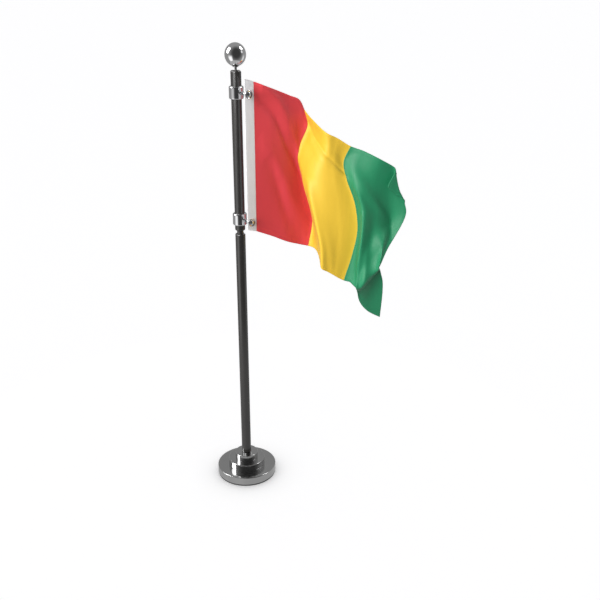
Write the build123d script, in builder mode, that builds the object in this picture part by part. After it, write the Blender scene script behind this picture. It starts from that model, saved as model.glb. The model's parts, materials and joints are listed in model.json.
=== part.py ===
"""Desk flag stand: a stepped round base, a two-part pole whose upper half swivels,
two clamp rings with thumb nuts, and a small flag with a white heading.

Millimetres. +Z is up, +X is the way the flag flies. The origin is the centre of the
underside of the base pad, where the stand rests on the desk.
"""

from build123d import *
from math import cos, radians, sin
import os

# ---------------------------------------------------------------- driving dimensions
BASE_RADIUS = 30.0          # round base disc
PAD_THICKNESS = 1.2         # anti-scratch pad under it
BASE_TOP = 9.5              # top face of the base disc
MIDDLE_RADIUS = 18.6        # middle tier
MIDDLE_TOP = 16.7
COLLAR_RADIUS = 11.5        # top tier, which the pole stands in
COLLAR_TOP = 23.5

POLE_RADIUS = 4.75          # both halves of the pole
POLE_WALL = 1.0
LOWER_POLE_TOP = 262.2      # where the swivel neck starts
UPPER_POLE_BOTTOM = 265.4   # where the swivel neck ends
UPPER_POLE_TOP = 410.9
END_CAP_HEIGHT = 2.5        # rounded ends of the two pole halves
END_ROUNDING = 1.2

NECK_RADIUS = 3.05          # visible swivel neck
SPINDLE_RADIUS = 2.5        # journal that the upper half turns on
SPINDLE_TOP = 334.0
FINIAL_BOTTOM = 413.7
FINIAL_TOP = 434.3
FINIAL_RADIUS = 9.4

RING_RADIUS = 6.6
RING_HEIGHT = 11.2
RING_HEIGHTS = {"upper": 392.0, "lower": 276.5}    # middle of each ring
STUD_ANGLE = 48.0           # studs point this far from +X towards -Y
STUD_RADIUS = 1.5
NUT_RADIUS = 4.0
NUT_BACK = 15.6             # back face of the thumb nut, from the pole's axis
NUT_THICKNESS = 3.0

HEADING_WIDTH = 10.5        # white heading tape of the flag
HEADING_EDGE = 2.6          # from its free edge to the studs
HEADING_THICKNESS = 0.9
HEADING_SAG = 3.4           # the cloth pulls its edge of the heading down this far
FLAG_TOP = 402.2            # where the cloth leaves the heading
FLAG_BOTTOM = 265.9
CLOTH_THICKNESS = 0.8

RUNNING_GAP = 0.05          # radial clearance of pieces that turn or slide
THREAD_GAP = 0.07           # radial clearance of the thumb nuts and finial on their studs

POLE_BORE = POLE_RADIUS - POLE_WALL
os.makedirs("parts", exist_ok=True)


def save(part, name):
    """Label a finished piece and write it as the node of that name."""
    part.label = name
    export_step(part, f"parts/{name}.step")


# ---------------------------------------------------------------- weighted base
BOLT_HOLE = 2.75            # clearance hole for the M5 bolt
BOLT_POCKET_RADIUS = 6.6
BOLT_POCKET_TOP = 6.7
RIM_ROUNDING = 0.6
TIER_ROUNDING = 0.5         # top and bottom edges of the two upper tiers
SPIGOT_DEPTH = 3.0          # how far the foot plug stands into the collar

with BuildPart() as base_disc:
    with BuildSketch(Plane.XY.offset(PAD_THICKNESS)):
        Circle(BASE_RADIUS)
    extrude(amount=BASE_TOP - PAD_THICKNESS)
    fillet(base_disc.edges().filter_by(GeomType.CIRCLE), RIM_ROUNDING)
    with BuildSketch(Plane.XY.offset(PAD_THICKNESS)):
        Circle(BOLT_POCKET_RADIUS)
    extrude(amount=BOLT_POCKET_TOP - PAD_THICKNESS, mode=Mode.SUBTRACT)
    with BuildSketch(Plane.XY.offset(PAD_THICKNESS)):
        Circle(BOLT_HOLE)
    extrude(amount=BASE_TOP - PAD_THICKNESS, mode=Mode.SUBTRACT)
save(base_disc.part, "base_disc")

with BuildPart() as middle_tier:
    with BuildSketch(Plane.XY.offset(BASE_TOP)):
        Circle(MIDDLE_RADIUS)
    extrude(amount=MIDDLE_TOP - BASE_TOP)
    fillet(middle_tier.edges().filter_by(GeomType.CIRCLE), TIER_ROUNDING)
    with BuildSketch(Plane.XY.offset(BASE_TOP)):
        Circle(BOLT_HOLE)
    extrude(amount=MIDDLE_TOP - BASE_TOP, mode=Mode.SUBTRACT)
save(middle_tier.part, "base_middle_tier")

with BuildPart() as collar:
    with BuildSketch(Plane.XY.offset(MIDDLE_TOP)):
        Circle(COLLAR_RADIUS)
    extrude(amount=COLLAR_TOP - MIDDLE_TOP)
    fillet(collar.edges().filter_by(GeomType.CIRCLE), TIER_ROUNDING)
    with BuildSketch(Plane.XY.offset(MIDDLE_TOP)):
        Circle(BOLT_HOLE)
    extrude(amount=COLLAR_TOP - MIDDLE_TOP, mode=Mode.SUBTRACT)
    with BuildSketch(Plane.XY.offset(COLLAR_TOP - SPIGOT_DEPTH)):
        Circle(POLE_BORE)
    extrude(amount=SPIGOT_DEPTH, mode=Mode.SUBTRACT)
save(collar.part, "base_pole_collar")

PAD_INSET = 0.4             # the pad is a little smaller than the disc
with BuildPart() as pad:
    with BuildSketch():
        Circle(BASE_RADIUS - PAD_INSET)
    extrude(amount=PAD_THICKNESS)
save(pad.part, "base_pad")

WASHER_THICKNESS = 1.0
BOLT_HEAD_RADIUS = 4.25
BOLT_HEAD_BOTTOM = 2.2
HEX_SOCKET = 2.0            # half the socket's width across flats
HEX_DEPTH = 2.0
BOLT_TOP = 40.0
with BuildPart() as bolt_washer:
    with BuildSketch(Plane.XY.offset(BOLT_POCKET_TOP - WASHER_THICKNESS)):
        Circle(BOLT_POCKET_RADIUS - 0.6)
        Circle(BOLT_HOLE, mode=Mode.SUBTRACT)
    extrude(amount=WASHER_THICKNESS)
save(bolt_washer.part, "base_bolt_washer")

with BuildPart() as bolt:
    with BuildSketch(Plane.XY.offset(BOLT_HEAD_BOTTOM)):
        Circle(BOLT_HEAD_RADIUS)
    extrude(amount=BOLT_POCKET_TOP - WASHER_THICKNESS - BOLT_HEAD_BOTTOM)
    with BuildSketch(Plane.XY.offset(BOLT_HEAD_BOTTOM)):
        RegularPolygon(HEX_SOCKET, 6, major_radius=False)
    extrude(amount=HEX_DEPTH, mode=Mode.SUBTRACT)
    with BuildSketch(Plane.XY.offset(BOLT_POCKET_TOP - WASHER_THICKNESS)):
        Circle(SPINDLE_RADIUS)
    extrude(amount=BOLT_TOP - BOLT_POCKET_TOP + WASHER_THICKNESS)
    chamfer(bolt.edges().group_by(Axis.Z)[-1], 0.5)
save(bolt.part, "base_bolt")

# ---------------------------------------------------------------- lower pole and swivel
FOOT_BEVEL = 0.5
FOOT_PLUG_TOP = 43.5
LOWER_TUBE_TOP = LOWER_POLE_TOP - END_CAP_HEIGHT
with BuildPart() as lower_pole:
    with BuildSketch(Plane.XY.offset(COLLAR_TOP)):
        Circle(POLE_RADIUS)
        Circle(POLE_BORE, mode=Mode.SUBTRACT)
    extrude(amount=LOWER_TUBE_TOP - COLLAR_TOP)
    chamfer(lower_pole.edges().group_by(Axis.Z)[0].sort_by(SortBy.LENGTH)[-1], FOOT_BEVEL)
save(lower_pole.part, "lower_pole")

with BuildPart() as foot_plug:
    with BuildSketch(Plane.XY.offset(COLLAR_TOP - SPIGOT_DEPTH)):
        Circle(POLE_BORE)
        Circle(SPINDLE_RADIUS, mode=Mode.SUBTRACT)
    extrude(amount=FOOT_PLUG_TOP - COLLAR_TOP + SPIGOT_DEPTH)
save(foot_plug.part, "pole_foot_plug")

SPINDLE_SHANK = 20.0        # pressed into the lower pole
THRUST_THICKNESS = 0.4
NECK_TOP = UPPER_POLE_BOTTOM - THRUST_THICKNESS - RUNNING_GAP
CLIP_GROOVE = 330.5
CLIP_THICKNESS = 0.6
CLIP_INNER = 2.1
CLIP_OUTER = 3.4
with BuildPart() as spindle:
    with BuildSketch(Plane.XY.offset(LOWER_TUBE_TOP)):
        Circle(POLE_RADIUS)
    extrude(amount=END_CAP_HEIGHT)
    fillet(spindle.edges().group_by(Axis.Z)[-1], END_ROUNDING)
    with BuildSketch(Plane.XY.offset(LOWER_TUBE_TOP - SPINDLE_SHANK)):
        Circle(POLE_BORE)
    extrude(amount=SPINDLE_SHANK)
    with BuildSketch(Plane.XY.offset(LOWER_POLE_TOP)):
        Circle(NECK_RADIUS)
    extrude(amount=NECK_TOP - LOWER_POLE_TOP)
    with BuildSketch(Plane.XY.offset(NECK_TOP)):
        Circle(SPINDLE_RADIUS)
    extrude(amount=SPINDLE_TOP - NECK_TOP)
    chamfer(spindle.edges().group_by(Axis.Z)[-1], 0.5)
    with BuildSketch(Plane.XY.offset(CLIP_GROOVE)):
        Circle(SPINDLE_RADIUS)
        Circle(CLIP_INNER, mode=Mode.SUBTRACT)
    extrude(amount=CLIP_THICKNESS, mode=Mode.SUBTRACT)
save(spindle.part, "swivel_spindle")

with BuildPart() as thrust_washer:
    with BuildSketch(Plane.XY.offset(NECK_TOP)):
        Circle(NECK_RADIUS)
        Circle(SPINDLE_RADIUS, mode=Mode.SUBTRACT)
    extrude(amount=THRUST_THICKNESS)
save(thrust_washer.part, "swivel_thrust_washer")

CLIP_SLOT = 2.4             # open side of the retaining clip
with BuildPart() as clip:
    with BuildSketch(Plane.XY.offset(CLIP_GROOVE)):
        Circle(CLIP_OUTER)
        Circle(CLIP_INNER, mode=Mode.SUBTRACT)
        with Locations((CLIP_OUTER, 0)):
            Rectangle(CLIP_OUTER, CLIP_SLOT, mode=Mode.SUBTRACT)
    extrude(amount=CLIP_THICKNESS)
save(clip.part, "swivel_clip")

# ---------------------------------------------------------------- upper pole
BUSH_LENGTH = 20.0          # lower bush inside the tube
UPPER_BUSH_BOTTOM = 318.0
UPPER_BUSH_TOP = CLIP_GROOVE - 0.2
UPPER_TUBE_BOTTOM = UPPER_POLE_BOTTOM + END_CAP_HEIGHT
UPPER_TUBE_TOP = UPPER_POLE_TOP - END_CAP_HEIGHT
with BuildPart() as upper_pole:
    with BuildSketch(Plane.XY.offset(UPPER_TUBE_BOTTOM)):
        Circle(POLE_RADIUS)
        Circle(POLE_BORE, mode=Mode.SUBTRACT)
    extrude(amount=UPPER_TUBE_TOP - UPPER_TUBE_BOTTOM)
save(upper_pole.part, "upper_pole")

with BuildPart() as lower_bush:
    with BuildSketch(Plane.XY.offset(UPPER_POLE_BOTTOM)):
        Circle(POLE_RADIUS)
    extrude(amount=END_CAP_HEIGHT)
    fillet(lower_bush.edges().group_by(Axis.Z)[0], END_ROUNDING)
    with BuildSketch(Plane.XY.offset(UPPER_TUBE_BOTTOM)):
        Circle(POLE_BORE)
    extrude(amount=BUSH_LENGTH)
    with BuildSketch(Plane.XY.offset(UPPER_POLE_BOTTOM)):
        Circle(SPINDLE_RADIUS + RUNNING_GAP)
    extrude(amount=END_CAP_HEIGHT + BUSH_LENGTH, mode=Mode.SUBTRACT)
save(lower_bush.part, "swivel_lower_bush")

with BuildPart() as upper_bush:
    with BuildSketch(Plane.XY.offset(UPPER_BUSH_BOTTOM)):
        Circle(POLE_BORE)
        Circle(SPINDLE_RADIUS + RUNNING_GAP, mode=Mode.SUBTRACT)
    extrude(amount=UPPER_BUSH_TOP - UPPER_BUSH_BOTTOM)
save(upper_bush.part, "swivel_upper_bush")

# ---------------------------------------------------------------- finial
STEM_RADIUS = 1.0
STEM_ENGAGEMENT = 10.0      # threaded length in the pole cap and in the finial
CAP_SHANK = 14.0            # pressed into the top of the upper pole
FINIAL_WASHER_RADIUS = 2.4
FINIAL_WASHER = 0.4
with BuildPart() as pole_cap:
    with BuildSketch(Plane.XY.offset(UPPER_TUBE_TOP)):
        Circle(POLE_RADIUS)
    extrude(amount=END_CAP_HEIGHT)
    fillet(pole_cap.edges().group_by(Axis.Z)[-1], END_ROUNDING)
    with BuildSketch(Plane.XY.offset(UPPER_TUBE_TOP - CAP_SHANK)):
        Circle(POLE_BORE)
    extrude(amount=CAP_SHANK)
    with BuildSketch(Plane.XY.offset(UPPER_POLE_TOP - STEM_ENGAGEMENT)):
        Circle(STEM_RADIUS)
    extrude(amount=STEM_ENGAGEMENT, mode=Mode.SUBTRACT)
save(pole_cap.part, "upper_pole_cap")

with BuildPart() as finial_stem:
    with BuildSketch(Plane.XY.offset(UPPER_POLE_TOP - STEM_ENGAGEMENT)):
        Circle(STEM_RADIUS)
    extrude(amount=FINIAL_BOTTOM - UPPER_POLE_TOP + 2 * STEM_ENGAGEMENT)
save(finial_stem.part, "finial_stem")

with BuildPart() as finial_washer:
    with BuildSketch(Plane.XY.offset(FINIAL_BOTTOM)):
        Circle(FINIAL_WASHER_RADIUS)
        Circle(STEM_RADIUS + THREAD_GAP, mode=Mode.SUBTRACT)
    extrude(amount=FINIAL_WASHER)
save(finial_washer.part, "finial_washer")

FINIAL_SEAT = 2.8           # radius of the flat that the finial stands on
FINIAL_SEAT_Z = FINIAL_BOTTOM + FINIAL_WASHER
FINIAL_MIDDLE = (FINIAL_SEAT_Z + FINIAL_TOP) / 2
with BuildPart() as finial:
    with BuildSketch(Plane.XZ):
        with Locations((0, FINIAL_MIDDLE)):
            Ellipse(FINIAL_RADIUS, FINIAL_TOP - FINIAL_MIDDLE)
        split(bisect_by=Plane.YZ)
    revolve(axis=Axis.Z)
    with BuildSketch(Plane.XY.offset(FINIAL_SEAT_Z)):
        Circle(FINIAL_SEAT)
    extrude(amount=FINIAL_SEAT / 2)
    with BuildSketch(Plane.XY.offset(FINIAL_SEAT_Z)):
        Circle(STEM_RADIUS + THREAD_GAP)
    extrude(amount=STEM_ENGAGEMENT + 1, mode=Mode.SUBTRACT)
save(finial.part, "finial_ball")

# ---------------------------------------------------------------- rings, studs and nuts
TOWARDS = Vector(cos(radians(STUD_ANGLE)), -sin(radians(STUD_ANGLE)), 0)
ALONG_FLAG = Vector(sin(radians(STUD_ANGLE)), cos(radians(STUD_ANGLE)), 0)
SHOULDER_RADIUS = 2.7
SHOULDER_THICKNESS = 0.5
NECK_START = 8.0            # where the stud starts to flare out to its shoulder
NECK_HOLLOW = 0.3           # how far the flare curves in
NUT_WASHER = 0.4
EYELET_RIM = 0.3
EYELET_BORE = 1.6
EYELET_BARREL = 2.0
EYELET_RADIUS = 2.4
HEADING_MIDDLE = NUT_BACK - NUT_WASHER - EYELET_RIM - HEADING_THICKNESS / 2
NUT_BORE_DEPTH = 2.0
NUT_HUB_RADIUS = 2.6
NUT_RIM = 0.7               # radius of the nut's rounded rim
NUT_RIM_MIDDLE = 1.9        # middle of the rim, from the nut's back face
NUT_FACE = 2.2              # floor of the groove in the nut's face, from its back face
NUT_GROOVE_RADIUS = 2.6
NUT_BOSS_RADIUS = 2.0
STUD_START = POLE_RADIUS + RUNNING_GAP
STUD_END = NUT_BACK + NUT_BORE_DEPTH - 0.2
RING_ROUNDING = 1.2


def stud_plane(height, distance):
    """Plane square to the stud at this height, this far from the pole's axis."""
    return Plane(TOWARDS * distance + Vector(0, 0, height), ALONG_FLAG, TOWARDS)


def profile_plane(height):
    """Plane for turned profiles: X away from the pole along the stud, Y across it."""
    return Plane(Vector(0, 0, height), TOWARDS, -ALONG_FLAG)


def build_ring(height):
    """Clamp ring that slides on the upper pole, tapped for its stud."""
    with BuildPart() as ring:
        with BuildSketch(Plane.XY.offset(height - RING_HEIGHT / 2)):
            Circle(RING_RADIUS)
        extrude(amount=RING_HEIGHT)
        fillet(ring.edges().filter_by(GeomType.CIRCLE), RING_ROUNDING)
        with BuildSketch(Plane.XY.offset(height - RING_HEIGHT / 2)):
            Circle(POLE_RADIUS + RUNNING_GAP)
        extrude(amount=RING_HEIGHT, mode=Mode.SUBTRACT)
        with BuildSketch(stud_plane(height, 0)):
            Circle(STUD_RADIUS)
        extrude(amount=RING_RADIUS, mode=Mode.SUBTRACT)
    return ring.part


def build_stud(height):
    """Threaded stud: clamps the ring to the pole and carries the flag's eyelet."""
    back_of_heading = HEADING_MIDDLE - HEADING_THICKNESS / 2 - EYELET_RIM
    with BuildPart() as stud:
        with BuildSketch(stud_plane(height, STUD_START)):
            Circle(STUD_RADIUS)
        extrude(amount=STUD_END - STUD_START)
        with BuildSketch(profile_plane(height)):
            with BuildLine():
                face = Line((back_of_heading, 0), (back_of_heading, SHOULDER_RADIUS))
                edge = Line(face @ 1, (back_of_heading - SHOULDER_THICKNESS, SHOULDER_RADIUS))
                waist = (NECK_START, STUD_RADIUS)
                hollow = ((edge @ 1) + Vector(waist)) / 2 - Vector(0, NECK_HOLLOW)
                ThreePointArc(edge @ 1, hollow, waist)
                Polyline(waist, (NECK_START, 0), (back_of_heading, 0))
            make_face()
        revolve(axis=Axis((0, 0, height), TOWARDS))
    return stud.part


def build_eyelet(height):
    """Pressed metal eyelet in the heading tape: a barrel with a rim on each face."""
    with BuildPart() as eyelet:
        with BuildSketch(stud_plane(height, HEADING_MIDDLE)):
            Circle(EYELET_BARREL)
        extrude(amount=HEADING_THICKNESS / 2 + EYELET_RIM, both=True)
        for side in (-1, 1):
            with BuildSketch(stud_plane(height, HEADING_MIDDLE + side * HEADING_THICKNESS / 2)):
                Circle(EYELET_RADIUS)
            extrude(amount=side * EYELET_RIM)
        with BuildSketch(stud_plane(height, HEADING_MIDDLE)):
            Circle(EYELET_BORE)
        extrude(amount=HEADING_THICKNESS / 2 + EYELET_RIM, both=True, mode=Mode.SUBTRACT)
    return eyelet.part


def build_nut_washer(height):
    """Thin washer between the eyelet and the thumb nut."""
    with BuildPart() as washer:
        with BuildSketch(stud_plane(height, NUT_BACK - NUT_WASHER)):
            Circle(EYELET_RADIUS + 0.4)
            Circle(STUD_RADIUS + THREAD_GAP, mode=Mode.SUBTRACT)
        extrude(amount=NUT_WASHER)
    return washer.part


def build_thumb_nut(height):
    """Round nut on the stud's end: a flared back, a rounded rim and a boss in its face."""
    rim_middle = NUT_BACK + NUT_RIM_MIDDLE
    rim_height = NUT_RADIUS - NUT_RIM
    face = NUT_BACK + NUT_FACE
    with BuildPart() as nut:
        with BuildSketch(profile_plane(height)):
            with BuildLine():
                back = Line((NUT_BACK, 0), (NUT_BACK, NUT_HUB_RADIUS))
                flare = Line(back @ 1, (rim_middle - NUT_RIM, rim_height))
                rim = ThreePointArc(
                    flare @ 1, (rim_middle, NUT_RADIUS), (rim_middle + NUT_RIM, rim_height)
                )
                Polyline(rim @ 1, (face, NUT_GROOVE_RADIUS), (face, NUT_BOSS_RADIUS))
                EllipticalCenterArc(
                    (face, 0), NUT_THICKNESS - NUT_FACE, NUT_BOSS_RADIUS, arc_size=90
                )
                Line((NUT_BACK, 0), (NUT_BACK + NUT_THICKNESS, 0))
            make_face()
        revolve(axis=Axis((0, 0, height), TOWARDS))
        with BuildSketch(stud_plane(height, NUT_BACK)):
            Circle(STUD_RADIUS + THREAD_GAP)
        extrude(amount=NUT_BORE_DEPTH, mode=Mode.SUBTRACT)
    return nut.part


for place, ring_height in RING_HEIGHTS.items():
    save(build_ring(ring_height), f"{place}_clamp_ring")
    save(build_stud(ring_height), f"{place}_ring_stud")
    save(build_eyelet(ring_height), f"{place}_eyelet")
    save(build_nut_washer(ring_height), f"{place}_nut_washer")
    save(build_thumb_nut(ring_height), f"{place}_thumb_nut")

# ---------------------------------------------------------------- flag
HEADING_LENGTH = FLAG_TOP - FLAG_BOTTOM
with BuildPart() as heading:
    with BuildSketch(stud_plane(FLAG_BOTTOM, HEADING_MIDDLE)):
        Polygon(
            (-HEADING_EDGE, HEADING_SAG),
            (HEADING_WIDTH - HEADING_EDGE, 0),
            (HEADING_WIDTH - HEADING_EDGE, HEADING_LENGTH),
            (-HEADING_EDGE, HEADING_LENGTH + HEADING_SAG),
            align=None,
        )
    extrude(amount=HEADING_THICKNESS / 2, both=True)
    for ring_height in RING_HEIGHTS.values():
        with BuildSketch(stud_plane(ring_height, HEADING_MIDDLE)):
            Circle(EYELET_BARREL)
        extrude(amount=HEADING_THICKNESS, both=True, mode=Mode.SUBTRACT)
save(heading.part, "flag_heading_tape")

HOIST = TOWARDS * HEADING_MIDDLE + ALONG_FLAG * (HEADING_WIDTH - HEADING_EDGE)
# Upright lines across the hanging cloth, from the hoist to the fly: how far each is
# from the pole in X and Y, and the heights of its top and bottom ends.
FLAG_LINES = [
    (HOIST.X, HOIST.Y, FLAG_TOP, FLAG_BOTTOM),
    (36, 12, 393, 252),
    (61, 26, 373, 240),
    (76, 2, 357, 227),
    (103, 15, 341, 211),
    (117, 4, 333, 203),
    (151, 8, 316, 190),
]


def cloth_section(index):
    """Plane square to the cloth at one of its upright lines, and that line's length."""
    x, y, top, bottom = FLAG_LINES[index]
    if index == 0:
        run = ALONG_FLAG
    else:
        before = FLAG_LINES[index - 1]
        after = FLAG_LINES[min(index + 1, len(FLAG_LINES) - 1)]
        run = Vector(after[0] - before[0], after[1] - before[1], 0).normalized()
    across = Vector(-run.Y, run.X, 0)
    return Plane(Vector(x, y, (top + bottom) / 2), across, run), top - bottom


for band, first_line in (("red", 0), ("yellow", 2), ("green", 4)):
    with BuildPart() as cloth:
        for line in (first_line, first_line + 1, first_line + 2):
            section, length = cloth_section(line)
            with BuildSketch(section):
                Rectangle(CLOTH_THICKNESS, length)
        loft(ruled=True)
    save(cloth.part, f"flag_{band}_band")
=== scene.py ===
"""Looks of the desk flag stand: the studio, the materials, the sewn flag and its heading.

Metres, in the frame of the CAD model. +Z is up and +X is the way the flag flies.
"""

import json
from math import cos, pi, radians, sin

import bmesh
import bpy
import numpy as np
from mathutils import Matrix, Vector


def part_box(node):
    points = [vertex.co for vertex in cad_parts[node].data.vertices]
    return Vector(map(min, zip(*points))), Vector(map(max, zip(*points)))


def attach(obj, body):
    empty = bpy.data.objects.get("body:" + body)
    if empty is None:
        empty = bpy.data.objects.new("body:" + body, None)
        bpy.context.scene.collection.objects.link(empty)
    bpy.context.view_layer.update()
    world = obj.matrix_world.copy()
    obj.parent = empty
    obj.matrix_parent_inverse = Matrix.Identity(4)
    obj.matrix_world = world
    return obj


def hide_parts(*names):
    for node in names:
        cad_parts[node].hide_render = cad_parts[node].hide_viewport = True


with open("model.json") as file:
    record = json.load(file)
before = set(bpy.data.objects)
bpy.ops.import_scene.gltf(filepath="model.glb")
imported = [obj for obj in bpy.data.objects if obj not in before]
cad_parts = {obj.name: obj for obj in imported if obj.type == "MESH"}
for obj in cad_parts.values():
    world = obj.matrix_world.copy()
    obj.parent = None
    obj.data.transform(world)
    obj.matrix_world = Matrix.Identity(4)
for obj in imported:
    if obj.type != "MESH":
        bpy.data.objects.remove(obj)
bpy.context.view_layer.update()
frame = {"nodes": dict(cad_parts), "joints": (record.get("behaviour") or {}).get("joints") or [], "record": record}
MM = 0.001
MICRON = 0.000001

# ---------------------------------------------------------------- the flag's cut and folds
BAND = 66.0                 # width of each of the three bands, in millimetres
HEADING_WIDTH = 10.5
HEADING_SAG = 3.4           # how far the cloth pulls its edge of the heading down
HEM = 3.6                   # width of the turned hem along the top, bottom and fly
STEP = 1.5                  # spacing of the cloth's threads in the model
TUCK = 1.5                  # how far the yellow band goes under its neighbours
CLOTH = 0.32                # thickness of one layer of cloth
HEMMED = 0.62               # thickness at the hems

# Places across the flat flag, from the heading to the fly, and down it, in millimetres.
ACROSS = [0, 22, 44, 57, 66, 82, 99, 116, 132, 148, 164, 181, 198]
DOWN = [0, 15, 34, 59, 83, 108, 136.3]
# Where those places hang, in millimetres from the pole's foot, row by row from the top. Most
# were worked out from the photo by a scratch script, and report.md names that as a broken rule.
HANGING = [
    [(31, 4, 395), (47, 15, 387), (56, 20, 382), (60, 24, 373), (68, 13, 365), (79, 0, 357),
     (90, 3, 351), (102, 7, 343), (114, 5, 339), (129, 3, 332), (145, 10, 322), (157, 13, 314)],
    [(31, 5, 386), (46, 16, 375), (57, 23, 367), (63, 25, 359), (69, 15, 351), (79, 1, 343),
     (87, 2, 338), (96, 7, 329), (108, 3, 324), (123, 2, 319), (139, 8, 308), (153, 11, 296)],
    [(32, 4, 368), (44, 14, 354), (52, 21, 346), (56, 22, 341), (61, 13, 333), (72, -1, 325),
     (86, -1, 319), (99, 3, 313), (109, -4, 307), (123, 1, 300), (141, 10, 289), (156, 10, 279)],
    [(32, 4, 345), (44, 13, 332), (52, 21, 323), (56, 22, 317), (60, 9, 307), (72, -3, 302),
     (90, -2, 296), (107, 2, 290), (115, -6, 285), (128, 2, 277), (141, 12, 267), (145, 6, 255)],
    [(31, 4, 320), (46, 13, 306), (57, 22, 299), (63, 24, 294), (66, 10, 282), (76, -4, 274),
     (93, -2, 268), (110, 2, 266), (114, -6, 258), (123, -3, 254), (133, -5, 250), (131, -3, 236)],
    [(31, 4, 291), (47, 13, 279), (61, 22, 274), (68, 25, 270), (70, 13, 259), (79, -4, 251),
     (92, -2, 244), (106, 2, 242), (111, -3, 233), (118, -6, 227), (129, 8, 218), (137, 12, 206)],
    [(30, 4, 258), (46, 13, 249), (57, 21, 244), (64, 23, 242), (72, 15, 240), (78, -2, 229),
     (89, -1, 220), (98, 2, 214), (111, 0, 210), (114, 14, 189), (123, 22, 174), (137, 28, 164)],
]
# Tension folds: from and to on the flat flag, half width, and how far they stand forward.
CREASES = [
    ((-24, -26), (76, 52), 8.0, 3.2),
    ((-28, -12), (72, 70), 5.5, -1.4),
    ((4, 50), (34, 84), 7.0, 1.0),
    ((14, 70), (60, 139), 8.0, -1.3),
    ((34, 70), (66, 150), 7.0, 1.0),
    ((60, 11), (136, 28), 1.8, -1.1),
    ((62, 17), (138, 34), 3.4, 0.8),
    ((88, 34), (112, 139), 6.0, 1.0),
    ((138, 8), (178, 62), 7.0, 1.8),
    ((152, 40), (172, 110), 6.0, -1.2),
]
CREASES_START = 9.0         # the folds die out this near to the heading
# Folds that lap over the cloth beyond them: from and to on the flat flag, how far before
# that line the lip is, half its width, and how far it moves along X, Y and Z.
LAPS = [
    ((86, 50), (97, 158), 4.0, 5.0, (-2, -6, 0)),
    ((144, 60), (150, 160), 4.0, 5.0, (-1.5, -3, 0)),
    ((146, 142), (244, 36), 5.5, 5.5, (-2, -8, -8)),
]
CURL_FROM = (176, 0)        # the fold line of the curled fly corner, on the flat flag
CURL_TO = (198, 24)
CURL_RADIUS = 1.8
CURL_TURN = radians(165)
CURL_RUN_IN = 3             # the curl starts in the direction of this much cloth before it


def smooth_between(stations, values, wanted):
    """Values at the wanted places on a smooth curve through the stations, along axis 0."""
    stations = np.asarray(stations, float)
    slopes = np.gradient(values, stations, axis=0)
    index = np.clip(np.searchsorted(stations, wanted, side="right") - 1, 0, len(stations) - 2)
    step = (stations[index + 1] - stations[index])[:, None, None]
    t = (wanted - stations[index])[:, None, None] / step
    start = values[index] * (1 + 2 * t) * (1 - t) ** 2 + slopes[index] * step * t * (1 - t) ** 2
    end = values[index + 1] * (3 - 2 * t) * t**2 - slopes[index + 1] * step * (1 - t) * t**2
    return start + end


def surface_normals(points):
    """Unit normals of a grid of points, on the side that faces the viewer."""
    normals = np.cross(np.gradient(points, axis=0), np.gradient(points, axis=1))
    return normals / np.linalg.norm(normals, axis=2, keepdims=True)


def hoist_line():
    """Top of the line where the cloth leaves the heading, and the heading's two directions."""
    stud = next(j for j in frame["joints"] if j["name"] == "upper_nut_back_off")
    towards = np.array(stud["axis"])
    along = np.array([-towards[1], towards[0], 0])
    lowest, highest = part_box("flag_heading_tape")
    middle = (np.array(lowest) + np.array(highest)) / 2 / MM
    top = middle + along * HEADING_WIDTH / 2
    top[2] = highest[2] / MM - HEADING_SAG
    return top, towards, along


HOIST_TOP, TOWARDS, ALONG = hoist_line()
WIDTH = 3 * BAND
LENGTH = DOWN[-1]
COLUMNS = np.linspace(0, WIDTH, round(WIDTH / STEP) + 1)
ROWS = np.linspace(0, LENGTH, round(LENGTH / STEP) + 1)


def hang_cloth():
    """The flag's surface through the places in HANGING: a grid of points, rows by columns."""
    hoist = HOIST_TOP - np.array([[0, 0, drop] for drop in DOWN])
    laid = np.concatenate([hoist[:, None], np.array(HANGING, float)], axis=1)
    rows = smooth_between(DOWN, laid, ROWS)
    points = smooth_between(ACROSS, rows.transpose(1, 0, 2), COLUMNS).transpose(1, 0, 2)
    return points + surface_normals(points) * crease_heights()[:, :, None]


def from_line(start, end):
    """For each point of the cloth, its part of the way along a line and how far off it is."""
    u, v = np.meshgrid(COLUMNS, ROWS)
    run = np.array(end) - np.array(start)
    length = np.hypot(*run)
    along = ((u - start[0]) * run[0] + (v - start[1]) * run[1]) / length
    off = ((u - start[0]) * run[1] - (v - start[1]) * run[0]) / length
    return np.clip(along / length, 0, 1), off


def crease_heights():
    """How far the tension folds lift each point of the cloth."""
    heights = np.zeros((len(ROWS), len(COLUMNS)))
    for start, end, half_width, lift in CREASES:
        along, off = from_line(start, end)
        heights += lift * np.sin(pi * along) ** 0.5 * np.exp(-((off / half_width) ** 2))
    return heights * np.clip(COLUMNS / CREASES_START, 0, 1)


def lap_folds(points):
    """Pulls the lips of the lapping folds over the cloth beyond them."""
    moved = points.copy()
    for start, end, lip, half_width, shift in LAPS:
        along, off = from_line(start, end)
        share = np.sin(pi * along) ** 0.5 * np.exp(-(((off - lip) / half_width) ** 2))
        moved += share[:, :, None] * np.array(shift)
    return moved


def grid_mesh(name, points):
    """A mesh of quads over a grid of points in metres, facing the viewer."""
    rows, columns = points.shape[:2]
    first = np.arange(rows - 1)[:, None] * columns + np.arange(columns - 1)
    corners = np.stack([first, first + columns, first + columns + 1, first + 1], axis=2)
    mesh = bpy.data.meshes.new(name)
    mesh.from_pydata(points.reshape(-1, 3).tolist(), [], corners.reshape(-1, 4).tolist())
    return mesh


SIM_SCALE = 0.01            # the cloth is simulated ten times as large as it is
SIM_FRAMES = 40
HOLD = 0.35                 # how firmly the cloth keeps to its laid-out place


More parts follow.
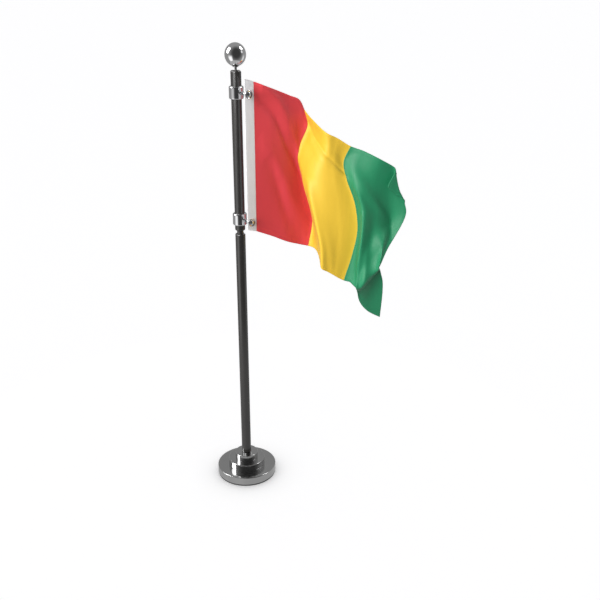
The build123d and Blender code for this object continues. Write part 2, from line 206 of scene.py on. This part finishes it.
def relax_cloth(points):
    """Lets the laid-out folds settle to the flat flag's size, and gives the new points."""
    mesh = grid_mesh("settling_cloth", points * SIM_SCALE)
    cloth = bpy.data.objects.new("settling_cloth", mesh)
    bpy.context.scene.collection.objects.link(cloth)
    cloth.shape_key_add(name="hanging")
    cut = cloth.shape_key_add(name="cut")
    u, v = np.meshgrid(COLUMNS, ROWS)
    flat = np.stack([u, np.zeros_like(u), -v], axis=2) * SIM_SCALE
    cut.data.foreach_set("co", flat.ravel())

    hold = cloth.vertex_groups.new(name="hold")
    columns = len(COLUMNS)
    for index in range(len(ROWS) * columns):
        hold.add([index], 1.0 if index % columns == 0 else HOLD, "REPLACE")

    modifier = cloth.modifiers.new("cloth", "CLOTH")
    settings = modifier.settings
    settings.rest_shape_key = cut
    settings.vertex_group_mass = "hold"
    settings.pin_stiffness = 1.0
    settings.mass = 0.3
    settings.quality = 8
    settings.tension_stiffness = 40
    settings.compression_stiffness = 40
    settings.shear_stiffness = 10
    settings.bending_stiffness = 2.0
    settings.tension_damping = 15
    settings.compression_damping = 15
    settings.shear_damping = 10
    settings.air_damping = 5
    settings.effector_weights.gravity = 0
    modifier.collision_settings.use_collision = False
    modifier.collision_settings.use_self_collision = False
    modifier.point_cache.frame_start = 1
    modifier.point_cache.frame_end = SIM_FRAMES
    for number in range(1, SIM_FRAMES + 1):
        bpy.context.scene.frame_set(number)
    settled = cloth.evaluated_get(bpy.context.evaluated_depsgraph_get()).data
    result = np.empty(len(settled.vertices) * 3)
    settled.vertices.foreach_get("co", result)
    bpy.data.objects.remove(cloth)
    bpy.context.scene.frame_set(1)
    return result.reshape(points.shape) / SIM_SCALE


def sample(grid, u, v):
    """Values of a grid over the cloth at places (u, v) on the flat flag."""
    column = np.clip(np.asarray(u) / WIDTH, 0, 1) * (len(COLUMNS) - 1)
    row = np.clip(np.asarray(v) / LENGTH, 0, 1) * (len(ROWS) - 1)
    left = np.minimum(column.astype(int), len(COLUMNS) - 2)
    upper = np.minimum(row.astype(int), len(ROWS) - 2)
    across = (column - left)[..., None]
    down = (row - upper)[..., None]
    top = grid[upper, left] * (1 - across) + grid[upper, left + 1] * across
    bottom = grid[upper + 1, left] * (1 - across) + grid[upper + 1, left + 1] * across
    return top * (1 - down) + bottom * down


def curl_corner(points):
    """Rolls the upper fly corner forward over its fold line."""
    u, v = np.meshgrid(COLUMNS, ROWS)
    run = np.array(CURL_TO) - np.array(CURL_FROM)
    outwards = np.array([run[1], -run[0]]) / np.hypot(*run)
    beyond = (u - CURL_FROM[0]) * outwards[0] + (v - CURL_FROM[1]) * outwards[1]
    curled = beyond > 0
    beyond = beyond[curled]
    foot_u = u[curled] - outwards[0] * beyond
    foot_v = v[curled] - outwards[1] * beyond
    foot = sample(points, foot_u, foot_v)
    before_u = foot_u - outwards[0] * CURL_RUN_IN
    before_v = foot_v - outwards[1] * CURL_RUN_IN
    inside = sample(points, before_u, before_v)
    ahead = foot - inside
    ahead /= np.linalg.norm(ahead, axis=1, keepdims=True)
    forward = sample(surface_normals(points), foot_u, foot_v)
    forward -= ahead * np.sum(forward * ahead, axis=1, keepdims=True)
    forward /= np.linalg.norm(forward, axis=1, keepdims=True)
    turn = np.minimum(beyond / CURL_RADIUS, CURL_TURN)[:, None]
    rest = np.maximum(beyond - CURL_RADIUS * CURL_TURN, 0)[:, None]
    rolled = points.copy()
    rolled[curled] = (
        foot
        + ahead * (CURL_RADIUS * np.sin(turn) + rest * np.cos(turn))
        + forward * (CURL_RADIUS * (1 - np.cos(turn)) + rest * np.sin(turn))
    )
    return rolled


# ---------------------------------------------------------------- material building blocks
def add_node(tree, kind, inputs, **settings):
    """A shader node whose inputs are values or other nodes' outputs."""
    node = tree.nodes.new(kind)
    for name, value in settings.items():
        setattr(node, name, value)
    for socket, value in inputs.items():
        if isinstance(value, bpy.types.NodeSocket):
            tree.links.new(value, node.inputs[socket])
        else:
            node.inputs[socket].default_value = value
    return node


def calculate(tree, operation, first, second=0.0):
    """Output of a Math node."""
    node = add_node(tree, "ShaderNodeMath", {0: first, 1: second}, operation=operation)
    return node.outputs[0]


def new_material(name, **sockets):
    """A material with one Principled shader whose uniform values are set on its sockets."""
    material = bpy.data.materials.new(name)
    material.use_nodes = True
    shader = material.node_tree.nodes["Principled BSDF"]
    for socket, value in sockets.items():
        shader.inputs[socket.replace("_", " ")].default_value = value
    return material, material.node_tree, shader


def rest_position(tree):
    """The point's place on its own piece, which moves with the piece."""
    return add_node(tree, "ShaderNodeTexCoord", {}).outputs["Object"]


def noise(tree, place, scale, detail=3.0):
    """Soft noise from 0 to 1 at so many blobs per metre."""
    inputs = {"Vector": place, "Scale": scale, "Detail": detail}
    return add_node(tree, "ShaderNodeTexNoise", inputs).outputs["Fac"]


def spread(tree, value, low, high):
    """Moves a value that runs from 0.3 to 0.7 to run from low to high."""
    inputs = {"Value": value, "From Min": 0.3, "From Max": 0.7, "To Min": low, "To Max": high}
    return add_node(tree, "ShaderNodeMapRange", inputs).outputs["Result"]


def blend_colours(tree, factor, first, second):
    """One colour where factor is 0 and the other where it is 1."""
    node = tree.nodes.new("ShaderNodeMix")
    node.data_type = "RGBA"
    # By number, since the node has several sockets named A and B.
    for index, value in ((0, factor), (6, first), (7, second)):
        if isinstance(value, bpy.types.NodeSocket):
            tree.links.new(value, node.inputs[index])
        else:
            node.inputs[index].default_value = value
    return node.outputs[2]


def rough_bump(tree, shader, height, distance):
    """Gives the shader a bump of so many metres where height is 1."""
    inputs = {"Height": height, "Distance": distance, "Strength": 1.0}
    bump = add_node(tree, "ShaderNodeBump", inputs)
    tree.links.new(bump.outputs["Normal"], shader.inputs["Normal"])


def shade(colour, factor):
    """The same colour, darker or lighter."""
    return tuple(channel * factor for channel in colour[:3]) + (1.0,)


# ---------------------------------------------------------------- materials
def turned_metal(name, colour, roughness, ring_pitch):
    """Plated metal turned on a lathe about the pole's axis: fine rings, faint smudges."""
    material, tree, shader = new_material(name, Metallic=1.0)
    place = rest_position(tree)
    smudge = noise(tree, place, 90.0)
    dullness = spread(tree, smudge, roughness * 0.8, roughness * 1.35)
    tree.links.new(dullness, shader.inputs["Roughness"])
    tint = noise(tree, place, 45.0)
    tree.links.new(
        blend_colours(tree, tint, shade(colour, 0.94), shade(colour, 1.05)),
        shader.inputs["Base Color"],
    )
    parts = add_node(tree, "ShaderNodeSeparateXYZ", {"Vector": place})
    level = {"X": parts.outputs["X"], "Y": parts.outputs["Y"]}
    flat = add_node(tree, "ShaderNodeCombineXYZ", level)
    radius = add_node(tree, "ShaderNodeVectorMath", {0: flat.outputs[0]}, operation="LENGTH")
    turns = calculate(tree, "MULTIPLY", radius.outputs["Value"], 2 * pi / ring_pitch)
    ring = calculate(tree, "SINE", turns)
    unevenness = calculate(tree, "MULTIPLY", noise(tree, place, 700.0), 1.5)
    wobble = calculate(tree, "ADD", ring, unevenness)
    rough_bump(tree, shader, wobble, 1.2 * MICRON)
    return material


def polished_metal(name, colour, roughness):
    """Bright plated metal with faint fingerprints and hairline polishing marks."""
    material, tree, shader = new_material(name, Metallic=1.0)
    place = rest_position(tree)
    smudge = noise(tree, place, 160.0)
    dullness = spread(tree, smudge, roughness * 0.7, roughness * 1.6)
    tree.links.new(dullness, shader.inputs["Roughness"])
    tree.links.new(
        blend_colours(tree, noise(tree, place, 60.0), shade(colour, 0.96), shade(colour, 1.03)),
        shader.inputs["Base Color"],
    )
    stretched = add_node(tree, "ShaderNodeMapping", {"Vector": place, "Scale": (1.0, 1.0, 14.0)})
    rough_bump(tree, shader, noise(tree, stretched.outputs[0], 500.0), 1.5 * MICRON)
    return material


def satin_paint(name, colour, roughness):
    """Satin enamel with a fine orange peel and a little wear in its gloss."""
    material, tree, shader = new_material(name, Specular_IOR_Level=0.9)
    place = rest_position(tree)
    tree.links.new(
        blend_colours(tree, noise(tree, place, 130.0), shade(colour, 0.88), shade(colour, 1.12)),
        shader.inputs["Base Color"],
    )
    lengthways = add_node(tree, "ShaderNodeMapping", {"Vector": place, "Scale": (1.0, 1.0, 0.08)})
    scuffs = noise(tree, lengthways.outputs[0], 900.0, 5.0)
    tree.links.new(spread(tree, scuffs, roughness, roughness + 0.06), shader.inputs["Roughness"])
    rough_bump(tree, shader, noise(tree, place, 1400.0), 3 * MICRON)
    return material


def moulded(name, colour, roughness, grain):
    """Rubber or moulded plastic with a fine grain."""
    material, tree, shader = new_material(name)
    place = rest_position(tree)
    speckle = noise(tree, place, grain)
    tree.links.new(
        blend_colours(tree, speckle, shade(colour, 0.75), shade(colour, 1.25)),
        shader.inputs["Base Color"],
    )
    tree.links.new(spread(tree, speckle, roughness, roughness + 0.12), shader.inputs["Roughness"])
    rough_bump(tree, shader, speckle, 30 * MICRON)
    return material


def thread_height(tree, pitch, lean=0.0):
    """Height of a plain weave over the flat cloth; with a lean it becomes a twill."""
    flat = add_node(tree, "ShaderNodeUVMap", {}, uv_map="flat")
    parts = add_node(tree, "ShaderNodeSeparateXYZ", {"Vector": flat.outputs[0]})
    across = calculate(tree, "MULTIPLY", parts.outputs["X"], pi / pitch)
    slanted = calculate(tree, "MULTIPLY", parts.outputs["X"], lean * pi / pitch)
    straight = calculate(tree, "MULTIPLY", parts.outputs["Y"], pi / pitch)
    down = calculate(tree, "ADD", straight, slanted)
    warp = calculate(tree, "SINE", across)
    weft = calculate(tree, "SINE", down)
    over = calculate(tree, "GREATER_THAN", calculate(tree, "MULTIPLY", warp, weft), 0.0)
    under = calculate(tree, "SUBTRACT", 1.0, over)
    warp_height = calculate(tree, "MULTIPLY", calculate(tree, "ABSOLUTE", warp), over)
    weft_height = calculate(tree, "MULTIPLY", calculate(tree, "ABSOLUTE", weft), under)
    return calculate(tree, "ADD", warp_height, weft_height)


def woven(name, colour, pitch, bump, lean=0.0):
    """Cloth whose threads follow the flat cut, with slubs, painted shade in the gaps between the threads, and a
    soft sheen.
    """
    sheen_tint = tuple(0.5 + channel / 2 for channel in colour[:3]) + (1.0,)
    material, tree, shader = new_material(
        name,
        Specular_IOR_Level=0.45,
        Sheen_Weight=0.15,
        Sheen_Roughness=0.35,
        Sheen_Tint=sheen_tint,
    )
    place = rest_position(tree)
    threads = thread_height(tree, pitch, lean)
    streaks = add_node(tree, "ShaderNodeMapping", {"Vector": place, "Scale": (1.0, 1.0, 0.15)})
    slubs = noise(tree, streaks.outputs[0], 260.0, 5.0)
    cloudy = blend_colours(tree, slubs, shade(colour, 0.93), shade(colour, 1.06))
    # Painted shade: the colour is darker down in the gaps between the threads, where the weave's height is low.
    between = blend_colours(tree, slubs, shade(colour, 0.78), shade(colour, 0.88))
    tree.links.new(blend_colours(tree, threads, between, cloudy), shader.inputs["Base Color"])
    tree.links.new(spread(tree, slubs, 0.46, 0.56), shader.inputs["Roughness"])
    rough_bump(tree, shader, threads, bump)
    return material


RED = (0.66, 0.046, 0.058, 1)
YELLOW = (0.78, 0.50, 0.034, 1)
GREEN = (0.013, 0.230, 0.100, 1)
WHITE = (0.80, 0.80, 0.81, 1)
THREAD_PITCH = 0.30 * MM    # from thread to thread in the bands' weave
TAPE_PITCH = 0.42 * MM      # the same in the heading's coarser twill

MATERIALS = {
    "base_metal": turned_metal(
        "dark_nickel", (0.56, 0.56, 0.56, 1), roughness=0.12, ring_pitch=0.5 * MM
    ),
    "pole_black": satin_paint("satin_black", (0.020, 0.019, 0.018, 1), roughness=0.19),
    "chrome": polished_metal("bright_chrome", (0.80, 0.80, 0.81, 1), roughness=0.06),
    "black_steel": polished_metal("black_oxide", (0.08, 0.08, 0.08, 1), roughness=0.30),
    "steel": polished_metal("zinc_steel", (0.55, 0.55, 0.54, 1), roughness=0.28),
    "bearing_plastic": moulded(
        "black_acetal", (0.02, 0.02, 0.02, 1), roughness=0.4, grain=1500.0
    ),
    "pad_rubber": moulded("foam_rubber", (0.02, 0.02, 0.02, 1), roughness=0.8, grain=1100.0),
    "eyelet_brass": polished_metal("plated_brass", (0.74, 0.72, 0.68, 1), roughness=0.14),
    "heading_white": woven("white_tape", WHITE, TAPE_PITCH, 50 * MICRON, lean=1.0),
    "cloth_red": woven("red_satin", RED, THREAD_PITCH, 20 * MICRON),
    "cloth_yellow": woven("yellow_satin", YELLOW, THREAD_PITCH, 20 * MICRON),
    "cloth_green": woven("green_satin", GREEN, THREAD_PITCH, 20 * MICRON),
}


def finish_cad_nodes():
    """Gives every CAD node the finish of its material slot."""
    for part in frame["record"]["subparts"]:
        node = frame["nodes"][part["node"]]
        node.data.materials.clear()
        node.data.materials.append(MATERIALS[part["material_slot"]])


# ---------------------------------------------------------------- flag pieces
def add_piece(name, mesh, slot):
    """A new shown piece with the finish of its slot."""
    piece = bpy.data.objects.new(name, mesh)
    bpy.context.scene.collection.objects.link(piece)
    mesh.materials.append(MATERIALS[slot])
    for polygon in mesh.polygons:
        polygon.use_smooth = True
    return piece


def add_flat_map(mesh, flat):
    """Stores each vertex's place on the flat cloth, in metres, as the map of its weave."""
    layer = mesh.uv_layers.new(name="flat")
    for loop in mesh.loops:
        layer.data[loop.index].uv = flat[loop.vertex_index]


def build_band(name, points, first, last, slot):
    """One sewn band of the flag, from column first to column last of the cloth's grid."""
    mesh = grid_mesh(name, points[:, first : last + 1] * MM)
    u, v = np.meshgrid(COLUMNS[first : last + 1], ROWS)
    add_flat_map(mesh, np.stack([u, -v], axis=2).reshape(-1, 2) * MM)
    band = add_piece(name, mesh, slot)

    hem = band.vertex_groups.new(name="hem")
    from_edge = np.minimum(np.minimum(v, LENGTH - v), WIDTH - u).ravel()
    for index, distance in enumerate(from_edge):
        hem.add([index], float(np.clip((HEM - distance) / STEP + 0.5, 0, 1)), "REPLACE")

    smooth = band.modifiers.new("smooth", "SUBSURF")
    smooth.levels = 1
    smooth.render_levels = 1
    thicken = band.modifiers.new("thicken", "SOLIDIFY")
    thicken.thickness = HEMMED * MM
    thicken.offset = 0
    thicken.vertex_group = "hem"
    thicken.thickness_vertex_group = CLOTH / HEMMED
    return band


STITCH = 2.4                # pitch of the stitches
THREAD = 0.16               # radius of the sewing thread
HEM_STITCH = 0.9            # the stitches of a hem are this far from its inner edge
SEAM_STITCH = 1.2           # and those of a seam this far from the edge between two bands
END_GAP = 1.0               # a row of stitches stops this far before the cloth's edge


def add_stitches(name, places, directions, normals, slot):
    """Short thread stitches, each a flattened bead along its direction on the cloth."""
    build = bmesh.new()
    for place, direction, normal in zip(places, directions, normals):
        along = Vector(direction).normalized()
        up = Vector(normal).normalized()
        side = along.cross(up)
        turn = Matrix((along, side, up)).transposed().to_4x4()
        turn.translation = Vector(place) * MM
        size = Matrix.Diagonal((STITCH * 0.36 * MM, THREAD * MM, THREAD * 0.8 * MM, 1))
        bead = turn @ size
        bmesh.ops.create_uvsphere(build, u_segments=6, v_segments=4, radius=1, matrix=bead)
    mesh = bpy.data.meshes.new(name)
    build.to_mesh(mesh)
    build.free()
    flat = [(vertex.co.x, vertex.co.z) for vertex in mesh.vertices]
    add_flat_map(mesh, flat)
    return add_piece(name, mesh, slot)


def stitch_rows(name, points, lines, slot):
    """Stitches on both faces of the cloth along lines between places on the flat flag."""
    normals = surface_normals(points)
    places, directions, facing = [], [], []
    for start, end in lines:
        start = np.array(start, float)
        run = np.array(end, float) - start
        count = int(np.hypot(*run) / STITCH)
        for number in range(count):
            here = start + run * (number + 0.5) / count
            after = here + run / np.hypot(*run) * 0.5
            place = sample(points, *here)
            normal = sample(normals, *here)
            for side in (1, -1):
                places.append(place + normal * side * HEMMED / 2)
                directions.append(sample(points, *after) - place)
                facing.append(normal * side)
    return add_stitches(name, places, directions, facing, slot)


def build_flag():
    """The three bands with their hems and stitches, all on the flag's body."""
    points = hang_cloth()
    points = relax_cloth(points)
    points = curl_corner(lap_folds(points))
    normals = surface_normals(points)

    per_band = round(BAND / STEP)
    tuck = round(TUCK / STEP)
    hem_line = HEM - HEM_STITCH
    bottom = LENGTH - hem_line
    for index, colour in enumerate(("red", "yellow", "green")):
        first = index * per_band
        last = first + per_band
        left = index * BAND + END_GAP
        right = left + BAND - 2 * END_GAP
        laid = points
        if colour == "yellow":
            tucked = [*range(first - tuck, first), *range(last + 1, last + 1 + tuck)]
            laid = points.copy()
            laid[:, tucked] -= normals[:, tucked] * CLOTH
            first -= tuck
            last += tuck
        slot = f"cloth_{colour}"
        band = build_band(f"flag_{colour}_cloth", laid, first, last, slot)
        lines = [((left, hem_line), (right, hem_line)), ((left, bottom), (right, bottom))]
        if colour == "red":
            seam = BAND - SEAM_STITCH
            lines.append(((seam, END_GAP), (seam, LENGTH - END_GAP)))
        if colour == "green":
            seam = 2 * BAND + SEAM_STITCH
            lines.append(((seam, END_GAP), (seam, LENGTH - END_GAP)))
            lines.append(((WIDTH - hem_line, hem_line), (WIDTH - hem_line, bottom)))
        stitches = stitch_rows(f"flag_{colour}_stitching", points, lines, slot)
        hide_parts(f"flag_{colour}_band")
        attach(band, "flag_carrier")
        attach(stitches, "flag_carrier")


TAPE_THICKNESS = 0.9
TAPE_SEGMENTS = 140
TAPE_SIDES = 28
WIDTH_FULLNESS = 0.35       # below 1, the tape's section is squarer than an oval
THICKNESS_FULLNESS = 0.5
EYELET_HOLE = 2.0           # radius of the holes for the eyelets
HOLE_CUTTER = 4.0           # length of the rods that cut them, well over the tape's thickness
TAPE_STITCHES = (1.1, 3.3)  # how far the two rows of stitches are from the tape's edge
TAPE_END_GAP = 2            # and how far they stay from its ends


def build_heading():
    """The white heading: a folded tape with rounded edges, holes for its eyelets, stitching."""
    lowest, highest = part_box("flag_heading_tape")
    middle = HOIST_TOP - ALONG * HEADING_WIDTH / 2
    top = highest[2] / MM
    bottom = lowest[2] / MM + HEADING_SAG
    outline = []
    for side in range(TAPE_SIDES):
        angle = 2 * pi * side / TAPE_SIDES
        wide = abs(cos(angle)) ** WIDTH_FULLNESS * (1 if cos(angle) > 0 else -1)
        thick = abs(sin(angle)) ** THICKNESS_FULLNESS * (1 if sin(angle) > 0 else -1)
        across = wide * HEADING_WIDTH / 2
        through = thick * TAPE_THICKNESS / 2
        outline.append((across, through))
    build = bmesh.new()
    loops = []
    for step in range(TAPE_SEGMENTS + 1):
        height = bottom + (top - bottom) * step / TAPE_SEGMENTS
        loop = []
        for across, through in outline:
            place = middle + ALONG * across + TOWARDS * through
            place[2] = height - HEADING_SAG * (0.5 + across / HEADING_WIDTH)
            loop.append(build.verts.new(Vector(place) * MM))
        loops.append(loop)
    for lower, upper in zip(loops, loops[1:]):
        for side in range(TAPE_SIDES):
            after = (side + 1) % TAPE_SIDES
            build.faces.new((lower[side], lower[after], upper[after], upper[side]))
    build.faces.new(loops[0][::-1])
    build.faces.new(loops[-1])
    bmesh.ops.recalc_face_normals(build, faces=build.faces)
    mesh = bpy.data.meshes.new("flag_heading")
    build.to_mesh(mesh)
    build.free()
    heading = bpy.data.objects.new("flag_heading", mesh)
    bpy.context.scene.collection.objects.link(heading)
    pierce(heading, [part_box("upper_eyelet"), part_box("lower_eyelet")])

    mesh = heading.data
    mesh.materials.clear()
    mesh.materials.append(MATERIALS["heading_white"])
    flat = []
    for vertex in mesh.vertices:
        across = Vector(vertex.co).dot(Vector(ALONG))
        flat.append((across, vertex.co.z))
    add_flat_map(mesh, flat)
    for polygon in mesh.polygons:
        polygon.use_smooth = True
    mesh.set_sharp_from_angle(angle=radians(50))
    stitches = heading_stitches(middle, top, bottom)
    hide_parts("flag_heading_tape")
    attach(heading, "flag_carrier")
    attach(stitches, "flag_carrier")


def pierce(heading, eyelet_boxes):
    """Cuts the eyelets' round holes through the heading."""
    build = bmesh.new()
    facing = Vector(TOWARDS).to_track_quat("Z", "Y").to_matrix().to_4x4()
    for lowest, highest in eyelet_boxes:
        middle = (Vector(lowest) + Vector(highest)) / 2
        bmesh.ops.create_cone(
            build,
            cap_ends=True,
            segments=40,
            radius1=EYELET_HOLE * MM,
            radius2=EYELET_HOLE * MM,
            depth=HOLE_CUTTER * MM,
            matrix=Matrix.Translation(middle) @ facing,
        )
    mesh = bpy.data.meshes.new("eyelet_holes")
    build.to_mesh(mesh)
    build.free()
    holes = bpy.data.objects.new("eyelet_holes", mesh)
    bpy.context.scene.collection.objects.link(holes)
    cut = heading.modifiers.new("holes", "BOOLEAN")
    cut.object = holes
    cut.operation = "DIFFERENCE"
    cut.solver = "EXACT"
    bpy.context.view_layer.update()
    evaluated = heading.evaluated_get(bpy.context.evaluated_depsgraph_get())
    cut_mesh = bpy.data.meshes.new_from_object(evaluated)
    heading.modifiers.clear()
    heading.data = cut_mesh
    bpy.data.objects.remove(holes)


def heading_stitches(middle, top, bottom):
    """Two rows of stitches down each face of the heading, beside the cloth."""
    places, directions, normals = [], [], []
    count = int((top - bottom - 2 * TAPE_END_GAP) / STITCH)
    for from_edge in TAPE_STITCHES:
        for number in range(count):
            height = bottom + TAPE_END_GAP + (number + 0.5) * STITCH
            for side in (1, -1):
                place = middle + ALONG * (HEADING_WIDTH / 2 - from_edge)
                place = place + TOWARDS * side * TAPE_THICKNESS / 2
                place[2] = height - HEADING_SAG * (1 - from_edge / HEADING_WIDTH)
                places.append(place)
                directions.append((0, 0, 1))
                normals.append(TOWARDS * side)
    return add_stitches("heading_stitching", places, directions, normals, "heading_white")


# ---------------------------------------------------------------- studio
FLOOR_REACH = 12.0
FLOOR_GLOW = 0.62           # lifts the floor to white in the picture, beside the fill light
CONTACT_SHADOW = 0.03       # how far from the base that glow is darkened: a painted contact shadow
TABLE_RADIUS = 0.35
TABLE_GLOW = 0.44

FILL = (0.41, 0.41, 0.42, 1)
# Brightness of the studio as the shiny pieces reflect it.
WALLS = 0.32
DARK_FRONT = 0.045          # the dark side of the room, behind the camera
LEFT_STRIP = 1.25           # bright strips low on the walls
RIGHT_STRIP = 0.8
SIDE_PATCH = 1.0            # a small bright patch to the right

# Each lamp's place, size and power, and whether it also lights the shiny pieces. The two
# that don't would show in them as squares that the photo doesn't have. None lights the floor.
LAMPS = [
    ("key_softbox", (-0.62, -0.98, 0.74), (1.0, 1.0), 25, False),
    ("left_softbox", (-1.05, 0.0, 0.95), (0.55, 0.80), 11, True),
    ("right_softbox", (0.85, 0.20, 1.15), (0.38, 0.42), 4, True),
    ("back_softbox", (0.45, 1.10, 0.85), (0.8, 0.8), 6, False),
]
LAMPS_AIM = (0.05, 0, 0.25)

CAMERA_PLACE = (0.0560, -0.7468, 0.5041)
CAMERA_TILT = 22.53         # how far it looks down, in degrees
LENS = 50                   # both in millimetres
SENSOR = 36


def build_floor():
    """A plain pale floor that the stand rests on, white in the picture but for a soft shadow, partly real in the
    fill light and partly painted into the floor's glow.
    """
    mesh = bpy.data.meshes.new("floor")
    reach = FLOOR_REACH
    corners = [(-reach, -reach, 0), (reach, -reach, 0), (reach, reach, 0), (-reach, reach, 0)]
    mesh.from_pydata(corners, [], [(0, 1, 2, 3)])
    floor = bpy.data.objects.new("floor", mesh)
    bpy.context.scene.collection.objects.link(floor)
    material, tree, shader = new_material("pale_floor", Roughness=0.6, Specular_IOR_Level=0.1)
    shader.inputs["Base Color"].default_value = (0.93, 0.93, 0.93, 1)
    shader.inputs["Emission Color"].default_value = (1, 1, 1, 1)
    ray = add_node(tree, "ShaderNodeLightPath", {})
    open_air = add_node(tree, "ShaderNodeAmbientOcclusion", {"Distance": CONTACT_SHADOW})
    # Painted contact shadow: the glow is darkened near the stand by ambient occlusion.
    glow = calculate(tree, "MULTIPLY", open_air.outputs["AO"], FLOOR_GLOW)
    glow = calculate(tree, "MULTIPLY", ray.outputs["Is Camera Ray"], glow)
    tree.links.new(glow, shader.inputs["Emission Strength"])
    mesh.materials.append(material)
    floor.visible_glossy = False
    return floor


def build_table():
    """A round pale table top, seen only in the reflections of the shiny pieces."""
    mesh = bpy.data.meshes.new("table")
    around = [2 * pi * step / 48 for step in range(48)]
    rim = [(TABLE_RADIUS * cos(angle), TABLE_RADIUS * sin(angle), 0) for angle in around]
    mesh.from_pydata(rim, [], [tuple(range(len(rim)))])
    table = bpy.data.objects.new("table", mesh)
    bpy.context.scene.collection.objects.link(table)
    material, _, shader = new_material(
        "pale_table", Roughness=0.6, Emission_Strength=TABLE_GLOW
    )
    shader.inputs["Base Color"].default_value = (0, 0, 0, 1)
    shader.inputs["Emission Color"].default_value = (1, 1, 1, 1)
    mesh.materials.append(material)
    table.visible_camera = False
    table.visible_diffuse = False
    table.visible_shadow = False


def add_softbox(name, place, size, power):
    """A rectangular studio light aimed at the stand."""
    light = bpy.data.lights.new(name, "AREA")
    light.shape = "RECTANGLE"
    light.size = size[0]
    light.size_y = size[1]
    light.energy = power
    lamp = bpy.data.objects.new(name, light)
    bpy.context.scene.collection.objects.link(lamp)
    lamp.location = place
    direction = Vector(LAMPS_AIM) - Vector(place)
    lamp.rotation_euler = direction.to_track_quat("-Z", "Y").to_euler()
    return lamp


def near_direction(tree, direction, azimuth, height, inner, outer):
    """1 for directions within inner degrees of a place in the studio, 0 beyond outer degrees.

    The place is given by its azimuth, from the viewer's side -Y towards +X, and its height.
    """
    level = cos(radians(height))
    aim = (sin(radians(azimuth)) * level, -cos(radians(azimuth)) * level, sin(radians(height)))
    nearness = add_node(
        tree, "ShaderNodeVectorMath", {0: direction, 1: aim}, operation="DOT_PRODUCT"
    )
    inputs = {
        "Value": nearness.outputs["Value"],
        "From Min": cos(radians(outer)),
        "From Max": cos(radians(inner)),
    }
    near = add_node(tree, "ShaderNodeMapRange", inputs, interpolation_type="SMOOTHSTEP")
    return near.outputs["Result"]


def keep_off(lamp, unlit):
    """Leaves some objects out of a lamp's light, so it has no shadow or reflection on them."""
    linked = bpy.data.collections.new(f"{lamp.name}_links")
    for item in unlit:
        linked.objects.link(item)
    for link in linked.collection_objects:
        link.light_linking.link_state = "EXCLUDE"
    lamp.light_linking.receiver_collection = linked


def grey(brightness):
    """A colour without a tint."""
    return (brightness, brightness, brightness, 1)


def build_world():
    """White surroundings for the camera, a soft fill, and the studio's walls in reflections."""
    world = bpy.data.worlds.new("studio")
    bpy.context.scene.world = world
    world.use_nodes = True
    tree = world.node_tree
    tree.nodes.clear()
    ray = add_node(tree, "ShaderNodeLightPath", {})
    direction = add_node(tree, "ShaderNodeTexCoord", {}).outputs["Generated"]
    flattened = add_node(
        tree, "ShaderNodeVectorMath", {0: direction, 1: (1, 1, 0)}, operation="MULTIPLY"
    )
    level = add_node(
        tree, "ShaderNodeVectorMath", {0: flattened.outputs[0]}, operation="NORMALIZE"
    ).outputs[0]
    low = near_direction(tree, direction, azimuth=0, height=-90, inner=65, outer=92)

    dark_front = near_direction(tree, direction, azimuth=17, height=14, inner=28, outer=88)
    walls = blend_colours(tree, dark_front, grey(WALLS), grey(DARK_FRONT))
    left = near_direction(tree, level, azimuth=-54, height=0, inner=6, outer=30)
    left = calculate(tree, "MULTIPLY", left, low)
    right = near_direction(tree, level, azimuth=104, height=0, inner=4, outer=18)
    right = calculate(tree, "MULTIPLY", right, low)
    walls = blend_colours(tree, left, walls, grey(LEFT_STRIP))
    walls = blend_colours(tree, right, walls, grey(RIGHT_STRIP))
    side = near_direction(tree, direction, azimuth=84, height=18, inner=4, outer=13)
    walls = blend_colours(tree, side, walls, grey(SIDE_PATCH))
    seen = blend_colours(tree, ray.outputs["Is Glossy Ray"], FILL, walls)
    seen = blend_colours(tree, ray.outputs["Is Camera Ray"], seen, grey(1))
    background = add_node(tree, "ShaderNodeBackground", {"Color": seen})
    output = add_node(tree, "ShaderNodeOutputWorld", {})
    tree.links.new(background.outputs[0], output.inputs["Surface"])


def build_camera():
    """A 50 mm lens in front of the stand and above it, as in the photograph."""
    data = bpy.data.cameras.new("camera")
    data.lens = LENS
    data.sensor_width = SENSOR
    camera = bpy.data.objects.new("camera", data)
    bpy.context.scene.collection.objects.link(camera)
    camera.location = CAMERA_PLACE
    camera.rotation_euler = (radians(90 - CAMERA_TILT), 0, 0)
    data.clip_end = 60
    bpy.context.scene.camera = camera


floor = build_floor()
build_table()
shiny = [
    frame["nodes"][part["node"]]
    for part in frame["record"]["subparts"]
    if part["material_slot"] in ("chrome", "base_metal")
]
for name, place, size, power, lights_shiny in LAMPS:
    lamp = add_softbox(name, place, size, power)
    keep_off(lamp, [floor] if lights_shiny else [floor, *shiny])
build_world()
build_camera()
bpy.context.scene.view_settings.view_transform = "Standard"

finish_cad_nodes()
build_heading()
build_flag()

bpy.context.view_layer.update()
